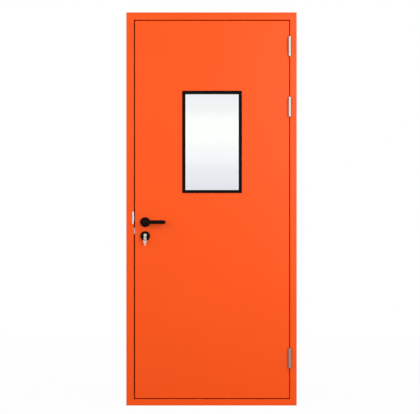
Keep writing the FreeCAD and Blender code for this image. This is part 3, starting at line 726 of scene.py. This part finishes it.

# %% [markdown]
# The floor itself is one big square face.

# %% Floor


def sheet(name, half, matrix, paint):
    """One big square face, with its place in its mesh."""
    shape = bmesh.new()
    bmesh.ops.create_grid(shape, x_segments=1, y_segments=1, size=half, matrix=matrix)
    mesh = bpy.data.meshes.new(name)
    shape.to_mesh(mesh)
    shape.free()
    mesh.materials.append(paint)
    made = bpy.data.objects.new(name, mesh)
    bpy.context.collection.objects.link(made)
    print(name, 2 * half, "m wide")
    return made


floor = sheet("floor", FLOOR_HALF, Matrix.Identity(4), floor_paint)

# %% [markdown]
# ## A wall for the glass to show
# A catalogue picture is often cut out on white, while its glass still shows the studio: a wall that is
# bright in the middle and falls off to a cool grey above and below. A sheet behind the door is that wall.
# Only rays that come through glass see it, so the white around the door stays white.

# %% Studio wall
WALL_Y = 3.0
WALL_LOW = 0.90
WALL_HIGH = 2.20
# How far up from WALL_LOW to WALL_HIGH, and the shade there; both ends are white
WALL_SHADES = ((0.20, "#DBDDE9"), (0.29, "#E6E6EF"), (0.44, "#F8F8FB"), (0.51, "#FFFFFF"),
               (0.60, "#FFFFFF"), (0.71, "#F1F1F4"), (0.80, "#E9EAF0"))
wall_paint, tree, output = blank("studio_wall")
place = add(tree, "ShaderNodeTexCoord")
split = add(tree, "ShaderNodeSeparateXYZ", None, {"Vector": place.outputs["Object"]})
height = add(tree, "ShaderNodeMapRange", {"From Min": WALL_LOW, "From Max": WALL_HIGH},
             {"Value": split.outputs["Z"]})
fall = add(tree, "ShaderNodeValToRGB", None, {"Fac": height.outputs["Result"]})
fall.color_ramp.interpolation = "EASE"
stops = fall.color_ramp.elements
stops[0].position, stops[0].color = 0.0, linear("#FFFFFF")
stops[1].position, stops[1].color = 1.0, linear("#FFFFFF")
for position, code in WALL_SHADES:
    stop = stops.new(position)
    stop.color = linear(code)
finish_graph(tree, output, add(tree, "ShaderNodeEmission", {"Strength": 1.0},
                               {"Color": fall.outputs["Color"]}))
upright = Matrix.Translation((0, WALL_Y, FLOOR_HALF)) @ Matrix.Rotation(math.pi / 2, 4, "X")
wall = sheet("studio_wall", FLOOR_HALF, upright, wall_paint)
for ray in ("camera", "diffuse", "glossy", "shadow", "volume_scatter"):
    setattr(wall, "visible_" + ray, False)

# %% [markdown]
# ## Camera
# The photograph is square-on from far away: both edges of the frame stay upright and there is no
# vanishing point to speak of. So the camera stands level with the middle of the door, eight metres off,
# with a long lens. The picture is 420 pixels wide, and the door's height in it sets the scale.

# %% Camera
# The photograph's size, and where the door's top, foot and middle stand in it, in pixels
PICTURE = (420, 414)
DOOR_TOP_PX = 12.3
DOOR_FOOT_PX = 405.6
DOOR_MIDDLE_PX = 211.5
CAMERA_AWAY = 8.0
SENSOR = 36.0
metres_per_pixel = door_height / (DOOR_FOOT_PX - DOOR_TOP_PX)
camera = bpy.data.cameras.new("camera")
camera.sensor_width = SENSOR
camera.lens = SENSOR * CAMERA_AWAY / (PICTURE[0] * metres_per_pixel)
camera_object = bpy.data.objects.new("camera", camera)
bpy.context.collection.objects.link(camera_object)
camera_object.location = ((PICTURE[0] / 2 - DOOR_MIDDLE_PX) * metres_per_pixel, front_y - CAMERA_AWAY,
                          (DOOR_FOOT_PX - PICTURE[1] / 2) * metres_per_pixel)
camera_object.rotation_euler = (math.pi / 2, 0, 0)
bpy.context.scene.camera = camera_object
print("lens", round(camera.lens, 1), "mm")

# %% [markdown]
# ## Light
# Two large soft boxes stand in front, the stronger one on the hinges' side, and a smaller, weaker one
# between them. Large boxes matter here: a small, strong one would leave a hard white mark on each round
# bar and barrel. A fourth stands behind and lights the back. The glass would show the boxes as white
# squares, so rays that come through it don't see them.

# %% Lights
MAIN_SIZE = 3.6


def soft_light(name, power, size, at, towards):
    """A square soft box that faces a point and doesn't show through the glass."""
    lamp = bpy.data.lights.new(name, "AREA")
    lamp.energy = power
    lamp.size = size
    box = bpy.data.objects.new(name, lamp)
    bpy.context.collection.objects.link(box)
    box.location = at
    box.visible_camera = False
    box.visible_transmission = False
    box.rotation_euler = (Vector(towards) - Vector(at)).to_track_quat("-Z", "Y").to_euler()
    print(name, power, "W")


soft_light("light_right", power=129, size=MAIN_SIZE, at=(2.8, -3.2, 2.2), towards=(0, 0, 1.2))
soft_light("light_left", power=90, size=MAIN_SIZE, at=(-2.8, -3.2, 2.0), towards=(0, 0, 1.1))
soft_light("light_front", power=26, size=1.6, at=(1.3, -3.6, 1.8), towards=(0, 0, 1.3))
soft_light("light_behind", power=60, size=2.0, at=(0.6, 3.6, 2.6), towards=(0, 0, 1.2))

# %% [markdown]
# ## Sky
# The sky adds a little light from all round. Its shader mixes a dim sky, which lights the door, with a
# plain white one, which shows behind the door, in its reflections and through its glass. The Standard
# view shows colours as they are, without a film look.

# %% Sky and view
SKY_LEVEL = 0.20
world = bpy.data.worlds.new("studio")
bpy.context.scene.world = world
world.use_nodes = True
tree = world.node_tree
tree.nodes.clear()
sky = add(tree, "ShaderNodeBackground", {"Color": [1.0, 1.0, 1.0, 1.0], "Strength": SKY_LEVEL})
white = add(tree, "ShaderNodeBackground", {"Color": [1.0, 1.0, 1.0, 1.0], "Strength": 1.0})
finish_graph(tree, add(tree, "ShaderNodeOutputWorld"), add(tree, "ShaderNodeMixShader", None, {
    0: sees_white(tree), 1: sky.outputs[0], 2: white.outputs[0]}))
bpy.context.scene.view_settings.view_transform = "Standard"
print("sky at", SKY_LEVEL)

# %% [markdown]
# ## Sizes
# The highest corner of the solids is written out.

# %% Write the sizes and finish
print("highest corner of the solids", [round(v, 3) for v in cad_high])
